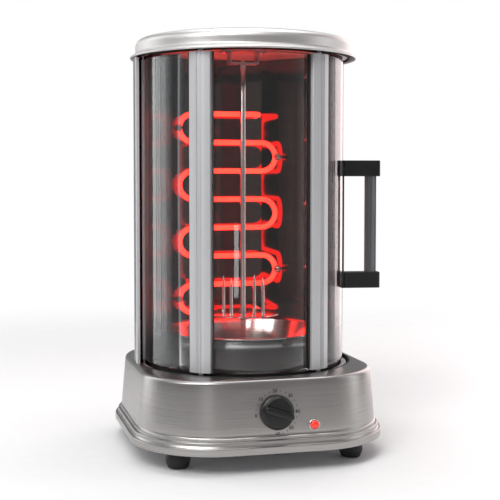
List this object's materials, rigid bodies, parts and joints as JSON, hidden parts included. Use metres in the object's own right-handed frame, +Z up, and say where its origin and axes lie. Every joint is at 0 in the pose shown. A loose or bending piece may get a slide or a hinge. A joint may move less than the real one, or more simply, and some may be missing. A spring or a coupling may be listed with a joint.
{
  "type": "rotisserie oven",
  "caption": "Upright rotisserie oven: a spit turns before a glowing element inside a round glass door that slides into the rear housing, over a drip tray.",
  "frame": {"origin": "on the table, under the middle of the whole oven's plan box, handle and knob included", "axes": "+Z up, -Y towards the user at the control panel, +X towards the door handle's side"},
  "size_m": [0.3171, 0.3138, 0.4925],
  "materials": {
    "brushed_steel": "brushed",
    "polished_steel": "polished",
    "dark_steel": "satin",
    "zinc_steel": "zinc plated",
    "screw_steel": "bright",
    "aluminium": "satin anodised",
    "grip_aluminium": "dark anodised",
    "door_glass": "clear",
    "black_plastic": "fine grain",
    "track_black": "matt",
    "gasket_rubber": "matt",
    "foot_rubber": "matt",
    "hot_element": "glowing when on",
    "ceramic": "fired, unglazed",
    "lamp_red": "clear red",
    "unit_plastic": "moulded"
  },
  "bodies": {
    "stand": {"base_cover": "brushed_steel", "base_plate": "zinc_steel", "bearing_screw_left": "screw_steel", "bearing_screw_right": "screw_steel", "ceiling_plate": "dark_steel", "cord_inlet": "black_plastic", "door_track": "track_black", "edge_trim_left": "aluminium", "edge_trim_right": "aluminium", "element_clip_high_left": "dark_steel", "element_clip_high_right": "dark_steel", "element_clip_low_left": "dark_steel", "element_clip_low_right": "dark_steel", "element_sleeve_high": "ceramic", "element_sleeve_low": "ceramic", "floor_plate": "dark_steel", "floor_screw_left": "screw_steel", "floor_screw_rear": "screw_steel", "floor_screw_right": "screw_steel", "foot_front_left": "foot_rubber", "foot_front_right": "foot_rubber", "foot_rear_left": "foot_rubber", "foot_rear_right": "foot_rubber", "gear_motor": "zinc_steel", "heating_element": "hot_element", "housing_shell": "brushed_steel", "lid_cover": "brushed_steel", "motor_bracket": "zinc_steel", "power_lamp_lens": "lamp_red", "power_lamp_rim": "polished_steel", "reflector_liner": "polished_steel", "spit_bearing": "zinc_steel", "terminal_block": "unit_plastic", "timer_unit": "unit_plastic", "top_track": "track_black"},
    "door": {"door_post_left": "aluminium", "door_post_right": "aluminium", "door_rail_lower": "aluminium", "door_rail_upper": "aluminium", "end_trim_left": "aluminium", "end_trim_right": "aluminium", "gasket_left_inner": "gasket_rubber", "gasket_left_outer": "gasket_rubber", "gasket_right_inner": "gasket_rubber", "gasket_right_outer": "gasket_rubber", "glass_front": "door_glass", "glass_left": "door_glass", "glass_right": "door_glass", "handle_back_plate": "black_plastic", "handle_block_lower": "black_plastic", "handle_block_upper": "black_plastic", "handle_grip": "grip_aluminium", "handle_screw_lower": "screw_steel", "handle_screw_upper": "screw_steel"},
    "drive": {"drive_coupling": "zinc_steel"},
    "spit": {"spit_rod": "polished_steel", "spit_disc": "polished_steel"},
    "tray": {"drip_tray": "polished_steel"},
    "timer": {"timer_knob": "black_plastic", "timer_shaft": "zinc_steel"}
  },
  "joints": [
    {"name": "door_turn", "type": "hinge", "parent": "stand", "child": "door", "pos_m": [-0.00907, 0.00657, 0.28], "axis": [0, 0, -1], "range_deg": [0, 150]},
    {"name": "drive_turn", "type": "hinge", "parent": "stand", "child": "drive", "pos_m": [-0.00907, 0.00657, 0.1], "axis": [0, 0, 1], "continuous": true},
    {"name": "spit_lift", "type": "slide", "parent": "drive", "child": "spit", "axis": [0, 0, 1], "range_m": [0, 0.008]},
    {"name": "tray_lift", "type": "slide", "parent": "stand", "child": "tray", "axis": [0, 0, 1], "range_m": [0, 0.005]},
    {"name": "timer_turn", "type": "hinge", "parent": "stand", "child": "timer", "pos_m": [-0.00907, -0.14162, 0.0655], "axis": [0, -0.9964, 0.0851], "range_deg": [-69, 205]}
  ]
}
